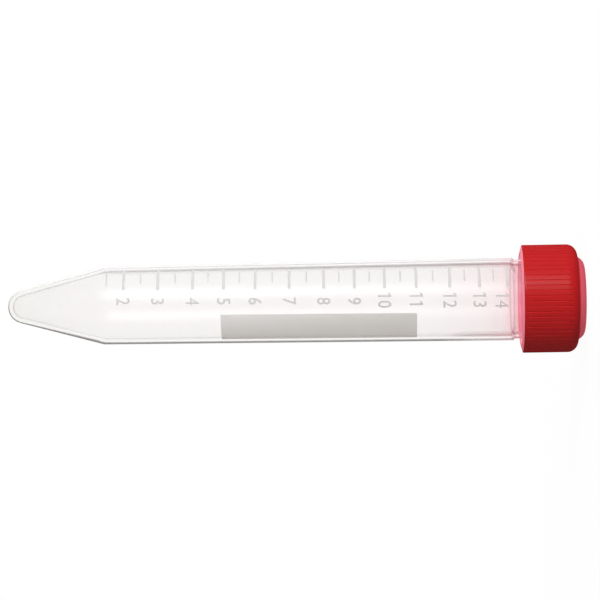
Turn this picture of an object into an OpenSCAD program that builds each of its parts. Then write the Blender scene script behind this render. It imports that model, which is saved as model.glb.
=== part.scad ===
// 15 ml conical tube with its screw cap, standing on the cap's flat top with the tip up.
// Origin: the centre of the cap's flat top. +Z runs along the tube towards its tip.

/* [Tube] */
// Length of the closed tube, from the cap's flat top to the tip
overall_l = 120; // [100:1:145]
// Outside diameter of the body at its collar
body_top_d = 17.1; // [14:0.1:21]
// How much narrower the body is where the cone starts
body_taper = 0.9; // [0:0.1:1.4]
// Length of the cone, from its shoulder to the tip
cone_l = 20; // [16:0.5:26]
// Outside radius of the rounded tip
tip_r = 3.5; // [2.6:0.1:3.9]
// Wall of the body at the collar
wall_top = 1.2; // [0.9:0.05:1.5]
// Wall of the body at the cone's shoulder
wall_low = 1.3; // [1:0.05:1.6]
// Wall at the tip
wall_tip = 1.1; // [0.8:0.05:1.4]

/* [Neck] */
// How far the collar stands out from the neck
collar_step = 0.35; // [0.2:0.05:0.45]
// Length of the straight collar above its step
collar_l = 2; // [1.5:0.1:4]
// Length of neck that shows between the cap and the collar
neck_show = 1.2; // [0.6:0.1:3]
// Radius of the rounded edges of the rim
rim_r = 0.25; // [0.15:0.05:0.35]

/* [Cap] */
// Height of the cap, from its flat top to the outer edge of its mouth
cap_h = 12.9; // [10:0.1:18]
// Wall of the skirt, ribs included
skirt_wall = 1.8; // [1.4:0.1:3]
// How far the inner lip of the mouth stands past the outer edge
lip_l = 0.4; // [0.2:0.05:0.8]
// Height of the raised disc on top
disc_h = 1.5; // [1:0.1:2.2]
// Width of the ledge between the raised disc and the skirt's outside
ledge_w = 2.6; // [2.2:0.1:4]
// Radius of the rounded edge between ledge and skirt, limited by the ledge
corner_r = 2.2; // [1:0.1:3]
// Radius on which the raised disc rounds off from its flat top down to the ledge
disc_edge_r = 2.2; // [1.7:0.1:4]
// Thickness of the cap's top inside the plug ring
roof_t = 1.5; // [1:0.1:2]
// Depth from the flat top to the seat of the tube's rim
seat_z = 2.6; // [2.2:0.1:3.5]

/* [Plug ring] */
// Length of the plug ring that enters the tube's mouth
plug_l = 3.2; // [2:0.1:5]
// Wall of the plug ring
plug_wall = 0.9; // [0.6:0.05:1.3]
// Lead-in bevel on the end of the plug ring
plug_lead = 0.4; // [0.2:0.05:0.5]

/* [Ribs] */
// Number of grip ribs round the skirt
rib_count = 64; // [40:1:80]
// Radius of the half-round grooves that part the ribs
groove_r = 0.17; // [0.1:0.01:0.28]
// Height of the plain band between the ribs and the mouth
band_h = 0.5; // [0.3:0.1:1.5]

/* [Fits] */
// Gap all round between the plug ring and the tube's bore
plug_gap = 0.1; // [0.05:0.01:0.2]
// Gap all round between the neck and the cap's bore, which the thread crosses
thread_room = 1.2; // [0.9:0.05:1.6]

/* [Hidden] */

body_top_r = body_top_d / 2;
body_low_r = body_top_r - body_taper / 2;
neck_r = body_top_r - collar_step;
mouth_r = body_top_r - wall_top;

cap_bore_r = neck_r + thread_room;
cap_r = cap_bore_r + skirt_wall;
disc_r = cap_r - ledge_w;
plug_r = mouth_r - plug_gap;
lip_z = cap_h + lip_l;
lip_round = skirt_wall / 6;

collar_z = lip_z + neck_show;
collar_bevel_z = collar_z + collar_step;
taper_z = collar_bevel_z + collar_l;
shoulder_z = overall_l - cone_l;
tip_z = overall_l - tip_r;

$fn = 96;

// Points along an arc about centre c, from angle a0 to a1.
function arc(c, r, a0, a1, steps = 8) =
    [for (i = [0 : steps]) let (a = a0 + (a1 - a0) * i / steps) c + r * [cos(a), sin(a)]];

// Angle to the axis of the line from point p that touches a circle of radius r centred on the axis at z.
function cone_angle(p, z, r) =
    atan2(p[0], z - p[1]) - asin(r / norm([p[0], z - p[1]]));

// Outline of one side of the cone: its shoulder, then the round tip, ending on the axis.
function cone_end(shoulder, r) =
    concat([shoulder], arc([0, tip_z], r, cone_angle(shoulder, tip_z, r), 90, 12));

function flip(points) = [for (i = [len(points) - 1 : -1 : 0]) points[i]];

// One moulded piece: open neck with a rounded rim, collar, slightly tapered body and a cone with a round tip.
module tube() {
    outside = concat(
        arc([neck_r - rim_r, seat_z + rim_r], rim_r, -90, 0, 4),
        [[neck_r, collar_z], [body_top_r, collar_bevel_z], [body_top_r, taper_z]],
        cone_end([body_low_r, shoulder_z], tip_r));
    bore = concat(
        arc([mouth_r + rim_r, seat_z + rim_r], rim_r, -90, -180, 4),
        [[mouth_r, taper_z]],
        cone_end([body_low_r - wall_low, shoulder_z], tip_r - wall_tip));
    color([0.93, 0.91, 0.9, 0.55])
        rotate_extrude() polygon(concat(outside, flip(bore)));
}

// Closed section of the cap: raised disc, ledge, skirt, bevelled mouth, bore, seat, plug ring and roof.
module cap_section() {
    corner = min(corner_r, 0.97 * ledge_w);
    disc_turn = acos(1 - disc_h / disc_edge_r);
    disc_flat_r = disc_r - disc_edge_r * sin(disc_turn);
    polygon(concat(
        [[0, 0]],
        arc([disc_flat_r, disc_edge_r], disc_edge_r, -90, disc_turn - 90),
        arc([cap_r - corner, disc_h + corner], corner, -90, 0),
        [[cap_r, cap_h], [cap_bore_r + lip_round, lip_z]],
        [[cap_bore_r, lip_z - lip_round], [cap_bore_r, seat_z]],
        [[plug_r, seat_z], [plug_r, seat_z + plug_l - plug_lead]],
        [[plug_r - plug_lead, seat_z + plug_l], [plug_r - plug_wall, seat_z + plug_l]],
        [[plug_r - plug_wall, roof_t], [0, roof_t]]));
}

// One groove down the skirt, from above its rounded top edge to the plain band at the mouth.
module groove() {
    run_out = 1;
    translate([cap_r, 0, -run_out])
        cylinder(r = groove_r, h = run_out + cap_h - band_h, $fn = 24);
}

// One moulded piece: ribbed skirt with a rounded top edge, a raised disc and an inner plug ring.
module cap() {
    color([0.76, 0.08, 0.1])
        difference() {
            rotate_extrude() cap_section();
            for (i = [0 : rib_count - 1])
                rotate((i + 0.5) * 360 / rib_count) groove();
        }
}

tube();
cap();
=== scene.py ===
# A 15 ml conical tube with its screw cap, standing on the cap's flat top with the tip up.
# The printed scale faces -Y, its lines lie towards +X and the writing panel towards -X.
import math

import bmesh
import bpy
from mathutils import Matrix, Vector


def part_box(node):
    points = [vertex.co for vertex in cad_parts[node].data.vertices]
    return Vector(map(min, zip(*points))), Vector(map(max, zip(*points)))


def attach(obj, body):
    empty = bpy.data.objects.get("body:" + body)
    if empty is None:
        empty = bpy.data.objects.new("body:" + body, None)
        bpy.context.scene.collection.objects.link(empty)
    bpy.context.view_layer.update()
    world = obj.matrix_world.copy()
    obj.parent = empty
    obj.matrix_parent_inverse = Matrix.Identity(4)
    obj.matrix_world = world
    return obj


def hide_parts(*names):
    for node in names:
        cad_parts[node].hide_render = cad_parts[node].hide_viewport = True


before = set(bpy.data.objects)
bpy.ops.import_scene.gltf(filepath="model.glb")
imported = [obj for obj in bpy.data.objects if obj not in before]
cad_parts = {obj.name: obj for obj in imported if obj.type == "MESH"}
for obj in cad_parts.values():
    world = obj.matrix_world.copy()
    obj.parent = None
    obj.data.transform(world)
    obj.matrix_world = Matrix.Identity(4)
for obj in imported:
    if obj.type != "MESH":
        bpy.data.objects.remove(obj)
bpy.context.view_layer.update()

# ---- Tube ---------------------------------------------------------------------------------------
# One injection-moulded polypropylene piece, clear to slightly milky: a threaded neck, a straight
# collar, a body that narrows a little towards its cone, and a round tip. It screws into the cap.
MM = 0.001

rim_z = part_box("tube")[0].z
tip_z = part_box("tube")[1].z
collar_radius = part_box("tube")[1].x
lip_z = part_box("cap")[1].z

neck_shows = 1.2 * MM
collar_step = 0.35 * MM
collar_length = 2.0 * MM
cone_length = 20.0 * MM
body_narrowing = 0.45 * MM
wall_at_collar = 1.2 * MM
# Near the cone the wall is drawn a little thinner than it is, since real plastic bends the light
# so that the bore looks wider.
wall_at_shoulder = 1.1 * MM
wall_at_tip = 0.95 * MM
tip_radius = 3.5 * MM
rim_round = 0.25 * MM
bevel_width = 0.08 * MM
bevel_height = 0.06 * MM

neck_radius = collar_radius - collar_step
mouth_radius = collar_radius - wall_at_collar
shoulder_radius = collar_radius - body_narrowing
collar_z = lip_z + neck_shows
taper_z = collar_z + collar_step + collar_length
shoulder_z = tip_z - cone_length
hair = 0.01 * MM

thread_pitch = 3.0 * MM
thread_turns = 1.6
thread_height = 0.8 * MM
thread_crest = 0.5 * MM
thread_foot = 1.3 * MM
thread_fade = 0.12
thread_detail = 0.12 * MM
tube_thread_z = rim_z + 2.0 * MM


def arc(centre_r, centre_z, radius, start, end, steps):
    """Outline points round a centre, from one angle to another in degrees."""
    angles = [math.radians(start + (end - start) * i / steps) for i in range(steps + 1)]
    return [(centre_r + radius * math.cos(a), centre_z + radius * math.sin(a)) for a in angles]


def straight(start, end, step):
    """Outline points along a straight line, both ends included, no further apart than step."""
    count = max(1, math.ceil(math.dist(start, end) / step))
    return [tuple(s + (e - s) * i / count for s, e in zip(start, end)) for i in range(count + 1)]


def cone_end(radius, height, nose):
    """The cone from its shoulder to where it touches a round nose, then the nose to the axis."""
    centre = tip_z - tip_radius
    reach = math.hypot(radius, centre - height)
    slope = math.atan2(radius, centre - height) - math.asin(nose / reach)
    start = math.degrees(slope)
    touch = (nose * math.cos(slope), centre + nose * math.sin(slope))
    return straight((radius, height), touch, 1.0 * MM) + arc(0, centre, nose, start, 90, 20)


def thread_ridge(angle, z, first_z):
    """Height of a right-hand screw thread at a place. It fades in and out over thread_fade turns."""
    behind = (z - first_z) / thread_pitch - angle / math.tau
    turn = round(behind)
    along = turn + angle / math.tau
    fade = min(along, thread_turns - along) / thread_fade
    if fade <= 0:
        return 0.0
    off = abs(behind - turn) * thread_pitch
    flank = (thread_foot / 2 - off) / ((thread_foot - thread_crest) / 2)
    flank = min(1.0, max(0.0, flank))
    return thread_height * flank * flank * (3 - 2 * flank) * min(1.0, fade)


def lathe(name, outline, angles, shape):
    """Turns an outline of (radius, height) points round the Z axis into a smooth closed mesh, with
    a column of points at each angle. shape(row, radius, height, angle) gives each point's radius."""
    mesh = bpy.data.meshes.new(name)
    columns = len(angles)
    points = []
    rows = []
    for row, (radius, z) in enumerate(outline):
        if radius < 1e-7:
            rows.append([len(points)])
            points.append((0.0, 0.0, z))
            continue
        rows.append(range(len(points), len(points) + columns))
        for angle in angles:
            r = shape(row, radius, z, angle)
            points.append((r * math.cos(angle), r * math.sin(angle), z))
    faces = []
    for low, high in zip(rows, rows[1:] + rows[:1]):
        if len(low) == len(high) == 1:
            continue
        for i in range(columns):
            j = (i + 1) % columns
            if len(low) == 1:
                faces.append((low[0], high[j], high[i]))
            elif len(high) == 1:
                faces.append((low[i], low[j], high[0]))
            else:
                faces.append((low[i], low[j], high[j], high[i]))
    mesh.from_pydata(points, [], faces)
    mesh.update()
    mesh.shade_smooth()
    mesh.set_sharp_from_angle(angle=math.radians(40))
    piece = bpy.data.objects.new(name, mesh)
    bpy.context.scene.collection.objects.link(piece)
    return piece


def body_radius(z):
    """Outside radius of the straight and tapered parts of the tube."""
    share = (z - taper_z) / (shoulder_z - taper_z)
    return collar_radius - body_narrowing * min(1.0, max(0.0, share))


tube_outside = arc(neck_radius - rim_round, rim_z + rim_round, rim_round, -90, 0, 6)
neck_foot = (neck_radius, rim_z + rim_round + 0.1 * MM)
tube_outside += straight(neck_foot, (neck_radius, collar_z), thread_detail)
tube_outside += [(collar_radius - bevel_width, collar_z + collar_step - bevel_height)]
tube_outside += [(collar_radius, collar_z + collar_step + bevel_height)]
tube_outside += straight((collar_radius, taper_z), (shoulder_radius, shoulder_z), step=4 * MM)
tube_outside += cone_end(shoulder_radius, shoulder_z, tip_radius)[1:]

bore = arc(mouth_radius + rim_round, rim_z + rim_round, rim_round, -90, -180, 6)
bore_start = (mouth_radius, rim_z + rim_round + 0.2 * MM)
bore += straight(bore_start, (mouth_radius, taper_z), step=2 * MM)
bore_shoulder_radius = shoulder_radius - wall_at_shoulder
bore += straight((mouth_radius, taper_z), (bore_shoulder_radius, shoulder_z), step=4 * MM)[1:]
bore += cone_end(bore_shoulder_radius, shoulder_z, tip_radius - wall_at_tip)[1:]


def tube_shape(row, radius, z, angle):
    """Raises the thread on the outside of the neck."""
    on_neck = row < len(tube_outside) and rim_z + rim_round < z < collar_z - hair
    return radius + thread_ridge(angle, z, tube_thread_z) if on_neck else radius


tube_columns = 192
tube_angles = [math.tau * i / tube_columns for i in range(tube_columns)]
tube = lathe("tube_body", tube_outside + bore[::-1], tube_angles, tube_shape)


class Link:
    """One output among a material's nodes. Arithmetic on it adds Math nodes."""

    def __init__(self, tree, socket=None):
        self.tree = tree
        self.socket = socket

    def node(self, kind, settings=(), inputs=(), output=0):
        """Adds a node, sets its settings, then the values or links of its sockets."""
        added = self.tree.nodes.new(kind)
        for name, value in dict(settings).items():
            setattr(added, name, value)
        for name, value in dict(inputs).items():
            if isinstance(value, Link):
                self.tree.links.new(added.inputs[name], value.socket)
            else:
                added.inputs[name].default_value = value
        return Link(self.tree, added.outputs[output] if added.outputs else None)

    def maths(self, operation, first, second=0.0):
        """Adds a Math node on two values, either of which may be a plain number."""
        return self.node("ShaderNodeMath", {"operation": operation}, {0: first, 1: second})

    def __add__(self, other):
        return self.maths("ADD", self, other)

    def __sub__(self, other):
        return self.maths("SUBTRACT", self, other)

    def __rsub__(self, other):
        return self.maths("SUBTRACT", other, self)

    def __mul__(self, other):
        return self.maths("MULTIPLY", self, other)

    def __truediv__(self, other):
        return self.maths("DIVIDE", self, other)

    def __rtruediv__(self, other):
        return self.maths("DIVIDE", other, self)

    __radd__ = __add__
    __rmul__ = __mul__

    def __abs__(self):
        return self.maths("ABSOLUTE", self)

    def clamped(self):
        """The value held between 0 and 1."""
        return self.node("ShaderNodeClamp", (), {"Value": self})


def new_finish(name):
    """An empty material, as a Link that nodes can be added from."""
    finish = bpy.data.materials.new(name)
    finish.use_nodes = True
    finish.node_tree.nodes.clear()
    return finish, Link(finish.node_tree)


def put_out(link, shader):
    """Sends a shader to the material's output."""
    link.node("ShaderNodeOutputMaterial", (), {"Surface": shader})


def noise(link, scale, detail=3.0, stretch=(1, 1, 1)):
    """Smooth noise fixed to the piece, from 0 to 1, scale in lumps to the metre."""
    place = link.node("ShaderNodeTexCoord", output=3)
    place = link.node("ShaderNodeMapping", (), {"Vector": place, "Scale": stretch})
    return link.node("ShaderNodeTexNoise", (), {"Vector": place, "Scale": scale, "Detail": detail})


def mixed(link, factor, first, second):
    """A colour between two colours."""
    return link.node("ShaderNodeMix", {"data_type": "RGBA"}, {0: factor, 6: first, 7: second}, 2)


def smooth_step(value, start, end):
    """0 below the start, 1 above the end, and an even curve between."""
    share = ((value - start) / (end - start)).clamped()
    return share * share * (3.0 - share * 2.0)


darker_milk = (0.86, 0.835, 0.83, 1)
paler_milk = (0.9, 0.875, 0.87, 1)
glowing_milk = (0.88, 0.855, 0.85, 1)
white_limb = (1.0, 0.99, 0.985, 1)
greenish_tip = (0.8, 0.82, 0.72, 1)
painted_cap_pink = (1.0, 0.84, 0.86, 1)
painted_step_shade = (0.55, 0.28, 0.34, 1)
clear_plastic = (0.996, 0.991, 0.990, 1)
plastic_lit_pink = (0.945, 0.6, 0.66, 1)
veil_dullness = 0.7
cone_limb_sooner = 0.035
limb_lost_by_cap = 0.35
tube_gloss = 0.018


def milky_finish(name, veil, painted_step_share, ring, cone_ring, limb):
    """Clear plastic with a thin milky film on each surface: a veil over all of it, a ring that
    light from behind glows through where the wall is seen edge on, and a dull limb.
    ring: where it starts, is full, starts to fade and is gone, then its strength.
    cone_ring: how much sooner it starts on the cone and by the tip, then its strength there.
    limb: where it starts and is full, then its strength."""
    ring_start, ring_full, ring_fades, ring_gone, ring_strength = ring
    cone_sooner, tip_sooner, cone_strength = cone_ring
    limb_start, limb_full, limb_strength = limb
    finish, start = new_finish(name)
    haze = noise(start, scale=900)
    flow = noise(start, scale=140, detail=2.0, stretch=(1, 1, 0.15))
    bump = start.node("ShaderNodeBump", (), {"Strength": 0.03, "Distance": 0.0002, "Height": flow})

    place = start.node("ShaderNodeTexCoord", output=3)
    across = start.node("ShaderNodeSeparateXYZ", (), {"Vector": place}, 0) / collar_radius
    height = start.node("ShaderNodeSeparateXYZ", (), {"Vector": place}, 2)
    facing = start.node("ShaderNodeLayerWeight", (), {"Blend": 0.5}, 1)
    on_cone = smooth_step(height, shoulder_z - 1 * MM, shoulder_z + 1 * MM)
    to_tip = smooth_step(height, shoulder_z, tip_z)
    to_cap = smooth_step(height, taper_z + 13 * MM, taper_z + 5 * MM)
    near_cap = smooth_step(height, taper_z + 5 * MM, taper_z)
    near_lip = ((collar_z + 0.7 * MM - height) / (1.9 * MM)).clamped()
    step_middle = collar_z + 0.45 * MM
    on_step = (1.0 - abs(height - step_middle) / (0.3 * MM)).clamped()

    # Painted light: the ring is made weaker towards the tip and -X, where less light comes from, but
    # not by the cap.
    painted_light_share = (1.0 - height / (1.6 * tip_z)) * (0.6 + across * 0.4) + to_cap * (1.0 - across) * 0.36
    seen = facing + on_cone * cone_sooner + to_tip * tip_sooner
    ring_share = smooth_step(seen, ring_start, ring_full) * painted_light_share * ring_strength
    ring_share = ring_share * (1.0 - smooth_step(seen, ring_fades, ring_gone))
    ring_share = ring_share * (on_cone * (cone_strength - 1.0) + 1.0)
    limb_share = smooth_step(facing + on_cone * cone_limb_sooner, limb_start, limb_full)
    limb_seen = limb_share * (1.0 - to_cap * limb_lost_by_cap) * limb_strength
    edge_share = (ring_share + limb_seen).clamped()

    # Milk, lit from in front or through: greener by the tip, with painted pink light by the cap and a
    # painted dark line along the collar's step, where the step bends the light.
    dull_tone = mixed(start, haze, darker_milk, paler_milk)
    glow = start.node("ShaderNodeBsdfTranslucent", (), {"Color": glowing_milk, "Normal": bump})
    tints = ((to_tip * 0.7, greenish_tip), (near_cap, painted_cap_pink), (on_step, painted_step_shade))
    for share, tint in tints:
        dull_tone = mixed(start, share, dull_tone, tint)
        tinted = start.node("ShaderNodeBsdfTranslucent", (), {"Color": tint, "Normal": bump})
        glow = start.node("ShaderNodeMixShader", (), {0: share, 1: glow, 2: tinted})
    dull_tone = mixed(start, limb_share * 0.6, dull_tone, white_limb)
    dull = start.node("ShaderNodeBsdfPrincipled", (), {
        "Base Color": dull_tone, "Roughness": 0.6, "Specular IOR Level": 0.0, "Normal": bump})
    edge_milk = start.node("ShaderNodeMixShader", (), {0: limb_share, 1: glow, 2: dull})
    veil_milk = start.node("ShaderNodeMixShader", (), {0: veil_dullness, 1: glow, 2: dull})

    # Clear plastic, with painted pink for the red light that the cap throws into it, which the neck
    # doesn't show.
    clear = start.node("ShaderNodeBsdfTransparent", (), {"Color": clear_plastic})
    pink = start.node("ShaderNodeBsdfTransparent", (), {"Color": plastic_lit_pink})
    pink_share = smooth_step(height, taper_z + 18 * MM, taper_z) * 0.05
    pink_share = pink_share + smooth_step(height, taper_z + 0.3 * MM, collar_z + 0.7 * MM) * 0.12
    pink_share = pink_share + near_lip * (0.2 - across * 0.04)
    out_of_cap = smooth_step(height, lip_z - 2.6 * MM, lip_z - 0.6 * MM)
    clear = start.node("ShaderNodeMixShader", (), {
        0: (pink_share * out_of_cap).clamped(), 1: clear, 2: pink})

    gloss = start.node("ShaderNodeBsdfAnisotropic", (), {
        "Color": (1, 1, 1, 1), "Roughness": 0.34 + haze * 0.1, "Normal": bump})
    veil_share = haze * 0.02 + veil + near_cap * 0.03 + to_tip * 0.02 + on_step * painted_step_share
    body = start.node("ShaderNodeMixShader", (), {0: veil_share.clamped(), 1: clear, 2: veil_milk})
    body = start.node("ShaderNodeMixShader", (), {0: edge_share, 1: body, 2: edge_milk})
    put_out(start, start.node("ShaderNodeMixShader", (), {0: tube_gloss, 1: body, 2: gloss}))
    return finish


outer_finish = milky_finish(
    "milky_polypropylene", veil=0.045, painted_step_share=0.34, ring=(0.445, 0.48, 0.51, 0.6, 0.7),
    cone_ring=(0.04, 0.0, 0.1), limb=(0.64, 0.74, 0.95))
bore_finish = milky_finish(
    "milky_bore", veil=0.03, painted_step_share=0.0, ring=(0.5, 0.75, 1.5, 1.6, 0.3),
    cone_ring=(-0.14, 0.24, 2.6), limb=(2.0, 3.0, 0.0))
tube.data.materials.append(outer_finish)
tube.data.materials.append(bore_finish)
outer_faces = len(tube_outside) - 1
for face in tube.data.polygons:
    if face.index >= outer_faces * len(tube_angles):
        face.material_index = 1
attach(tube, "tube")
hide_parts("tube")

# ---- Screw cap ----------------------------------------------------------------------------------
# One injection-moulded polyethylene piece, red and satin: ribbed skirt with a rounded top edge, a
# raised disc, a bevelled mouth, an inner thread and a plug ring that seals inside the tube's mouth.
cap_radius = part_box("cap")[1].x
mouth_edge_z = lip_z - 0.4 * MM
cap_bore_radius = neck_radius + 1.2 * MM
disc_radius = cap_radius - 2.6 * MM
disc_height = 1.5 * MM
disc_round = 2.2 * MM
ledge_round = 2.2 * MM
ledge_z = disc_height + ledge_round
roof_z = 1.5 * MM
plug_radius = mouth_radius - 0.1 * MM
plug_wall = 0.9 * MM
plug_end_z = rim_z + 3.2 * MM
plug_lead = 0.4 * MM
lip_round = 0.3 * MM
mouth_round = 0.12 * MM

rib_count = 64
groove_radius = 0.145 * MM
groove_end_z = mouth_edge_z - 0.5 * MM
groove_step_degrees = 30
cap_thread_z = tube_thread_z + thread_pitch / 2

disc_turn = math.acos(1 - disc_height / disc_round)
disc_flat_radius = disc_radius - disc_round * math.sin(disc_turn)
cap_outside = [(0.0, 0.0)]
cap_outside += arc(disc_flat_radius, disc_round, disc_round, -90, math.degrees(disc_turn) - 90, 16)
cap_outside += arc(cap_radius - ledge_round, ledge_z, ledge_round, -90, 0, 16)
skirt_start = (cap_radius, ledge_z + 0.4 * MM)
cap_outside += straight(skirt_start, (cap_radius, groove_end_z), step=1.5 * MM)
cap_outside += [(cap_radius, groove_end_z + 0.08 * MM)]
cap_outside += arc(cap_radius - mouth_round, mouth_edge_z - mouth_round, mouth_round, 0, 75, 4)
cap_inside = [(cap_bore_radius + lip_round, lip_z), (cap_bore_radius, lip_z - lip_round)]
bore_mouth = (cap_bore_radius, lip_z - lip_round - 0.1 * MM)
cap_inside += straight(bore_mouth, (cap_bore_radius, rim_z), step=0.16 * MM)
cap_inside += [(plug_radius, rim_z), (plug_radius, plug_end_z - plug_lead)]
cap_inside += [(plug_radius - plug_lead, plug_end_z), (plug_radius - plug_wall, plug_end_z)]
cap_inside += [(plug_radius - plug_wall, roof_z), (0.0, roof_z)]


def skirt_reach(angle):
    """How far the skirt reaches out at an angle: its round outside, less the half-round grooves."""
    off = ((angle * rib_count / math.tau) % 1.0 - 0.5) * math.tau / rib_count
    across = cap_radius * off
    depth = math.sqrt(max(0.0, groove_radius ** 2 - across ** 2))
    return cap_radius - depth


def cap_shape(row, radius, z, angle):
    """Cuts the grooves into the skirt's outside and raises the thread in its bore."""
    if row < len(cap_outside):
        return min(radius, skirt_reach(angle)) if z <= groove_end_z + hair else radius
    in_bore = abs(radius - cap_bore_radius) < hair and z < lip_z - lip_round - hair
    return radius - thread_ridge(angle, z, cap_thread_z) if in_bore else radius


rib_turn = math.tau / rib_count
cap_angles = []
for i in range(rib_count):
    groove_middle = (i + 0.5) * rib_turn
    for t in range(180, -1, -groove_step_degrees):
        cap_angles.append(groove_middle + groove_radius * math.cos(math.radians(t)) / cap_radius)
    cap_angles += [groove_middle + rib_turn * 0.4, groove_middle + rib_turn * 0.6]
cap = lathe("screw_cap", cap_outside + cap_inside, cap_angles, cap_shape)

cap_gloss = 0.013
red_plastic, start = new_finish("satin_red_polyethylene")
place = start.node("ShaderNodeTexCoord", output=3)
height = start.node("ShaderNodeSeparateXYZ", (), {"Vector": place}, 2)
flat_place = start.node("ShaderNodeVectorMath", {"operation": "MULTIPLY"}, {0: place, 1: (1, 1, 0)})
from_axis = start.node("ShaderNodeVectorMath", {"operation": "LENGTH"}, {0: flat_place}, 1)
grain = noise(start, scale=1800)
streak = noise(start, scale=500, stretch=(1, 1, 0.1))
# Where painted light goes: the disc's side, the mouth's bevel, the inside, the grooves and the ledge
# by the disc.
painted_disc_side = smooth_step(disc_height - height, 0.0, 0.3 * MM)
painted_lip_bevel = smooth_step(height, mouth_edge_z, mouth_edge_z + 0.1 * MM)
inside = smooth_step(from_axis, cap_bore_radius + 0.15 * MM, cap_bore_radius + 0.05 * MM)
inside = inside * smooth_step(height, disc_height + 0.2 * MM, disc_height + 0.5 * MM)
near_mouth = inside * smooth_step(height, lip_z - 3 * MM, lip_z - 0.6 * MM)
at_mouth = inside * smooth_step(height, lip_z - 0.8 * MM, lip_z - 0.3 * MM)
in_groove = smooth_step(from_axis, cap_radius - 0.02 * MM, cap_radius - 0.1 * MM)
in_groove = in_groove * smooth_step(height, ledge_z, ledge_z + 0.3 * MM)
by_disc = smooth_step(from_axis, cap_radius - 0.9 * MM, disc_radius + 0.3 * MM)
by_disc = by_disc * smooth_step(height, disc_height + 1.4 * MM, disc_height + 0.3 * MM)

# Painted light: the grooves are painted a paler red to lift their shade, the disc's side a pinker
# red, and the mouth's bevel and the inside by the mouth pink. These, the rest of the inside and the
# ledge by the disc also glow, a painted glow for light coming through the plastic.
red = mixed(start, streak, (0.475, 0.0065, 0.009, 1), (0.53, 0.0095, 0.012, 1))
painted_reds = ((in_groove, (0.635, 0.012, 0.015, 1)), (near_mouth, (0.85, 0.3, 0.44, 1)),
        (at_mouth, (0.9, 0.5, 0.62, 1)), (painted_disc_side, (0.45, 0.06, 0.09, 1)),
        (painted_lip_bevel, (0.95, 0.34, 0.42, 1)))
for share, colour in painted_reds:
    red = mixed(start, share, red, colour)
painted_glow = mixed(start, by_disc, (0.0, 0.0, 0.0, 1), (0.14, 0.012, 0.018, 1))
lights = ((painted_disc_side, (0.25, 0.045, 0.06, 1)), (painted_lip_bevel, (0.26, 0.05, 0.07, 1)),
          (inside, (0.25, 0.02, 0.035, 1)), (near_mouth, (0.24, 0.13, 0.22, 1)),
          (at_mouth, (0.3, 0.21, 0.28, 1)))
for share, colour in lights:
    painted_glow = mixed(start, share, painted_glow, colour)
bump = start.node("ShaderNodeBump", (), {"Strength": 0.1, "Distance": 0.0001, "Height": grain})
dull = start.node("ShaderNodeBsdfPrincipled", (), {
    "Base Color": red, "Roughness": 0.5 + streak * 0.1, "Specular IOR Level": 0.0, "Normal": bump,
    "Emission Color": painted_glow, "Emission Strength": 1.0})
gloss = start.node("ShaderNodeBsdfAnisotropic", (), {
    "Color": (1, 1, 1, 1), "Roughness": 0.3 + streak * 0.08, "Normal": bump})
put_out(start, start.node("ShaderNodeMixShader", (), {0: cap_gloss, 1: dull, 2: gloss}))
cap.data.materials.append(red_plastic)
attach(cap, "cap")
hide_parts("cap")

# ---- Volume scale -------------------------------------------------------------------------------
# Grey ink printed straight on the body: a long line at each whole millilitre and a short one at
# each half, spaced by what the tapered bore holds. The screen ran a little askew of the tube.

# Heights of the long lines in millimetres, from 2 ml near the tip to 14 ml near the cap.
whole_lines = (95.3, 88.2, 81.0, 74.6, 68.1, 61.1, 54.0, 47.7, 41.5, 35.0, 28.1, 22.0, 16.2)
first_whole = 2
last_whole = first_whole + len(whole_lines) - 1
print_skew = 0.008
print_lift = 0.012 * MM
ink_thickness = 0.02 * MM


def mark_z(volume):
    """Height of a volume's line: half lines lie midway, and the 1.5 line half a step past the 2."""
    at = volume - first_whole
    low = min(len(whole_lines) - 2, max(0, math.floor(at)))
    step = whole_lines[low + 1] - whole_lines[low]
    return (whole_lines[low] + step * (at - low)) * MM


print_foot_z = mark_z(last_whole)


def on_tube(across, z, lift):
    """A point on the body: across is the arc length from the printed side's middle, towards +X."""
    skewed = across + print_skew * (z - print_foot_z)
    radius = body_radius(z)
    angle = skewed / radius
    return ((radius + lift) * math.sin(angle), -(radius + lift) * math.cos(angle), z)


def wrap_print(name, flat):
    """Makes a thin closed layer of ink on the tube from flat faces of (across, height) points."""
    inked = bmesh.new()
    for outline in flat:
        top = [inked.verts.new(on_tube(a, z, print_lift + ink_thickness)) for a, z in outline]
        under = [inked.verts.new(on_tube(a, z, print_lift)) for a, z in outline]
        inked.faces.new(top)
        inked.faces.new(under[::-1])
        for i in range(len(top)):
            j = (i + 1) % len(top)
            inked.faces.new((top[j], top[i], under[i], under[j]))
    bmesh.ops.recalc_face_normals(inked, faces=inked.faces)
    mesh = bpy.data.meshes.new(name)
    inked.to_mesh(mesh)
    inked.free()
    piece = bpy.data.objects.new(name, mesh)
    bpy.context.scene.collection.objects.link(piece)
    return piece


def patch(across, z, width, height, step):
    """A flat rectangle cut into strips narrow enough to follow the tube."""
    count = max(1, math.ceil(width / step))
    edges = [across - width / 2 + width * i / count for i in range(count + 1)]
    low = z - height / 2
    high = z + height / 2
    return [[(a, low), (b, low), (b, high), (a, high)] for a, b in zip(edges, edges[1:])]


# Each kind of line: its inner end, its outer end and its weight. The first line stands for 1.5 ml.
long_line = (2.55 * MM, 7.9 * MM, 0.58 * MM)
short_line = (4.05 * MM, 6.8 * MM, 0.3 * MM)
first_line = (3.4 * MM, 6.7 * MM, 0.3 * MM)
first_half = 3
lines = []
for half in range(first_half, 2 * last_whole + 1):
    inner, outer, weight = long_line if half % 2 == 0 else short_line
    if half == first_half:
        inner, outer, weight = first_line
    lines += patch((inner + outer) / 2, mark_z(half / 2), outer - inner, weight, step=0.6 * MM)
scale_lines = wrap_print("scale_lines", lines)

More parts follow.
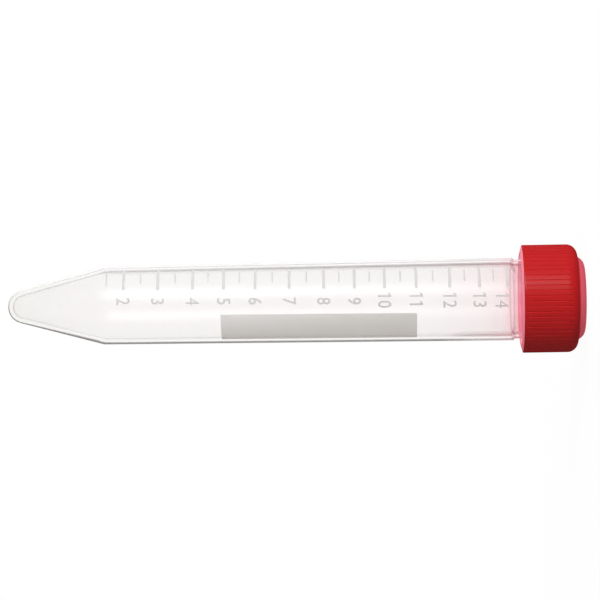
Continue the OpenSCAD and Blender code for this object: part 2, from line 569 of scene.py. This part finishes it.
grey_ink, start = new_finish("grey_scale_ink")
wear = noise(start, scale=3000, detail=4.0)
full_ink = (0.58, 0.57, 0.56, 1)
worn_ink = (0.68, 0.67, 0.66, 1)
tone = mixed(start, wear, full_ink, worn_ink)
put_out(start, start.node("ShaderNodeBsdfPrincipled", (), {
    "Base Color": tone, "Roughness": 0.5 + wear * 0.2}))
scale_lines.data.materials.append(grey_ink)
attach(scale_lines, "tube")

# ---- Numbers ------------------------------------------------------------------------------------
# Printed with the lines, in the same grey ink: 2 to 14, each beside its line, in plain narrow
# figures that stand upright when the tube is held cap up.
figure_height = 2.75 * MM
figure_middle = -0.32 * MM
figure_skew = 0.006
figure_narrowing = 0.82
figure_pitch = 1.7 * MM

# Numbers of two figures stand a little nearer to the lines, and the last a little above its line.
pair_shift = 0.18 * MM
last_shift = 1.2 * MM

# The corners of the 1, in millimetres right and up of its middle, and how bold the others are.
one_corners = ((0.19, -1.38), (0.19, 1.38), (-0.1, 1.38), (-0.62, 1.02), (-0.62, 0.64), (-0.17, 0.9),
               (-0.17, -1.38))
stroke_offsets = {"4": -0.003, "6": 0.012, "9": 0.014}
plain_offset = 0.006
fold_step = 0.3 * MM
folds_each_side = 3


def figure_faces(text):
    """The flat faces of one figure, its middle at the origin, as (right, up) points in metres. The
    1 is drawn, the others come from Blender's own type, and all are cut to fold round the tube."""
    shape = bmesh.new()
    if text == "1":
        shape.faces.new([shape.verts.new((right * MM, up * MM, 0)) for right, up in one_corners])
    else:
        curve = bpy.data.curves.new("figure", "FONT")
        curve.body = text
        curve.resolution_u = 4
        curve.offset = stroke_offsets.get(text, plain_offset)
        holder = bpy.data.objects.new("figure", curve)
        bpy.context.scene.collection.objects.link(holder)
        bpy.context.view_layer.update()
        mesh = bpy.data.meshes.new_from_object(
            holder.evaluated_get(bpy.context.evaluated_depsgraph_get()))
        bpy.data.objects.remove(holder)
        bpy.data.curves.remove(curve)
        shape.from_mesh(mesh)
        bpy.data.meshes.remove(mesh)
        rights = [v.co.x for v in shape.verts]
        ups = [v.co.y for v in shape.verts]
        size = figure_height / (max(ups) - min(ups))
        centre = Vector(((max(rights) + min(rights)) / 2, (max(ups) + min(ups)) / 2, 0))
        for v in shape.verts:
            v.co = (v.co - centre) * size
            v.co.x *= figure_narrowing
        bmesh.ops.remove_doubles(shape, verts=shape.verts, dist=1e-7)
    for i in range(-folds_each_side, folds_each_side + 1):
        geometry = shape.verts[:] + shape.edges[:] + shape.faces[:]
        fold = Vector((i * fold_step, 0, 0))
        bmesh.ops.bisect_plane(shape, geom=geometry, plane_co=fold, plane_no=(1, 0, 0))
    bmesh.ops.triangulate(shape, faces=[f for f in shape.faces if len(f.verts) > 4])
    shape.normal_update()
    faces = [[(v.co.x, v.co.y) for v in f.verts] for f in shape.faces]
    shape.free()
    return faces


figures = []
for volume in range(first_whole, last_whole + 1):
    z = mark_z(volume)
    across = figure_middle + figure_skew * (z - print_foot_z)
    if volume == last_whole:
        z += last_shift
    text = str(volume)
    across += pair_shift * (len(text) - 1)
    for i, figure in enumerate(text):
        middle = across - (i - (len(text) - 1) / 2) * figure_pitch
        for face in figure_faces(figure):
            figures.append([(middle - right, z - up) for right, up in face])
scale_numbers = wrap_print("scale_numbers", figures)
scale_numbers.data.materials.append(grey_ink)
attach(scale_numbers, "tube")

# ---- Writing panel ------------------------------------------------------------------------------
# A blank block of thin pale grey ink, printed beside the scale straight on the body. Its surface
# is slightly dry, so that it takes a marker pen, and the tube shows through it.
panel_low_z = 34.9 * MM
panel_length = 40.4 * MM
panel_inner = -2.72 * MM
panel_outer = -9.5 * MM
panel_opacity = 0.33
dark_fleck = (0.66, 0.635, 0.595, 1)
pale_fleck = (0.72, 0.695, 0.655, 1)
foot_end_ink = (0.51, 0.475, 0.4, 1)
painted_warm_shade = (0.63, 0.57, 0.42, 1)

panel_width = panel_inner - panel_outer
panel_centre = ((panel_inner + panel_outer) / 2, panel_low_z + panel_length / 2)
panel_flat = patch(*panel_centre, panel_width, panel_length, step=0.35 * MM)
writing_panel = wrap_print("writing_panel", panel_flat)

panel_ink, start = new_finish("pale_grey_panel_ink")
speckle = noise(start, scale=5000, detail=5.0)
tone = mixed(start, speckle, dark_fleck, pale_fleck)
place = start.node("ShaderNodeTexCoord", output=3)
across = start.node("ShaderNodeSeparateXYZ", (), {"Vector": place}, 0)
height = start.node("ShaderNodeSeparateXYZ", (), {"Vector": place}, 2)
# Towards its foot, by the cap, the panel is darker and yellower.
to_foot = smooth_step(height, panel_low_z + panel_length, panel_low_z)
tone = mixed(start, to_foot * 0.8, tone, foot_end_ink)
# Painted warm shade: towards -X, the side away from the key lamp, the ink is painted darker and
# yellower.
to_edge = smooth_step(across, -5.0 * MM, -7.6 * MM)
tone = mixed(start, to_edge * 0.8, tone, painted_warm_shade)
bump = start.node("ShaderNodeBump", (), {"Strength": 0.2, "Distance": 0.00002, "Height": speckle})
put_out(start, start.node("ShaderNodeBsdfPrincipled", (), {
    "Base Color": tone, "Roughness": 0.62 + speckle * 0.15, "Alpha": panel_opacity, "Normal": bump}))
writing_panel.data.materials.append(panel_ink)
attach(writing_panel, "tube")

# ---- Studio -------------------------------------------------------------------------------------
# A plain white floor that the tube stands on, with white all round it. Soft lamps stand to the
# front, the side and the back, and a weak warm one fills the shaded side.
floor_size = 8.0
near_floor = 0.1
far_floor = 0.35
near_brightness = 1.11
least_glow = 0.85

bpy.ops.mesh.primitive_plane_add(size=floor_size, location=(0, 0, 0))
floor = bpy.context.object
floor.name = "floor"
white_floor, start = new_finish("white_floor")


def white_background_rays(link):
    """1 for the rays that should see plain white: straight from the camera, mirrored or bent, but
    not scattered."""
    kinds = link.node("ShaderNodeLightPath").socket.node.outputs
    seen = Link(link.tree, kinds["Is Camera Ray"]) + Link(link.tree, kinds["Is Glossy Ray"])
    seen = seen + Link(link.tree, kinds["Is Transmission Ray"])
    return (seen - Link(link.tree, kinds["Is Diffuse Ray"])).clamped()


place = start.node("ShaderNodeTexCoord", output=3)
from_middle = start.node("ShaderNodeVectorMath", {"operation": "LENGTH"}, {0: place}, 1)
far_off = smooth_step(from_middle, near_floor, far_floor)

# Near the tube the floor takes its shadow. Far off it is as white as the room round it.
matt = start.node("ShaderNodeBsdfDiffuse", (), {"Color": (0.8, 0.8, 0.8, 1)})
near_glow = start.node("ShaderNodeEmission", (), {"Color": (1, 1, 1, 1), "Strength": near_brightness})
far_glow = start.node("ShaderNodeEmission", (), {"Color": (1, 1, 1, 1), "Strength": 1.0})
glow = start.node("ShaderNodeMixShader", (), {0: far_off, 1: near_glow, 2: far_glow})
glow_share = far_off * (1.0 - least_glow) + least_glow
put_out(start, start.node("ShaderNodeMixShader", (), {
    0: white_background_rays(start) * glow_share, 1: matt, 2: glow}))
floor.data.materials.append(white_floor)

ambient = 0.18
world = bpy.data.worlds.new("white_room")
world.use_nodes = True
world.node_tree.nodes.clear()
bpy.context.scene.world = world
start = Link(world.node_tree)
room_light = start.node("ShaderNodeBackground", (), {"Color": (1, 1, 1, 1), "Strength": ambient})
white = start.node("ShaderNodeBackground", (), {"Color": (1, 1, 1, 1), "Strength": 1.0})
room = start.node("ShaderNodeMixShader", (), {
    0: white_background_rays(start), 1: room_light, 2: white})
start.node("ShaderNodeOutputWorld", (), {"Surface": room})


def lamp(name, angle, height, distance, size, light_level, colour=(1, 1, 1)):
    """A square soft lamp at an angle from -Y towards +X. Its level is what a white surface that
    faces it from the middle of the tube gains in brightness."""
    turn = math.radians(angle)
    place = Vector((distance * math.sin(turn), -distance * math.cos(turn), height))
    aim = Vector((0, 0, tip_z / 2))
    light = bpy.data.lights.new(name, "AREA")
    light.shape = "SQUARE"
    light.size = size
    light.color = colour
    light.energy = light_level * math.pi ** 2 * (place - aim).length_squared
    holder = bpy.data.objects.new(name, light)
    holder.location = place
    holder.rotation_euler = (aim - place).to_track_quat("-Z", "Y").to_euler()
    bpy.context.scene.collection.objects.link(holder)


warm_white = (1.0, 0.86, 0.66)
lamp("key_lamp", angle=35, height=0.14, distance=0.7, size=0.25, light_level=0.69)
lamp("side_lamp", angle=85, height=0.2, distance=0.7, size=0.5, light_level=0.22)
lamp("back_lamp", angle=150, height=0.25, distance=0.8, size=0.5, light_level=0.3)
lamp("fill_lamp", angle=-25, height=0.1, distance=0.9, size=0.8, light_level=0.12, colour=warm_white)

# ---- Camera -------------------------------------------------------------------------------------
# Stands in front of the cap end and turns a little towards the middle, with the tube's tip to the
# left of the picture, the way such a tube is usually shown.
camera_place = Vector((0.52, -590, 44.65)) * MM
camera_aim = Vector((0.52, 0, 59.07)) * MM
camera_roll = math.radians(-0.92)

camera_data = bpy.data.cameras.new("camera")
camera_data.sensor_width = 36
camera_data.lens = 170.05
camera_data.clip_start = 0.01
camera_data.clip_end = 20
camera = bpy.data.objects.new("camera", camera_data)
ahead = (camera_aim - camera_place).normalized()
right = ahead.cross(Vector((1, 0, 0))).normalized()
level = Matrix((right, right.cross(ahead), -ahead)).transposed()
turned = (level @ Matrix.Rotation(camera_roll, 3, "Z")).to_4x4()
camera.matrix_world = Matrix.Translation(camera_place) @ turned
bpy.context.scene.collection.objects.link(camera)
bpy.context.scene.camera = camera
bpy.context.scene.view_settings.view_transform = "Standard"

bpy.context.view_layer.update()
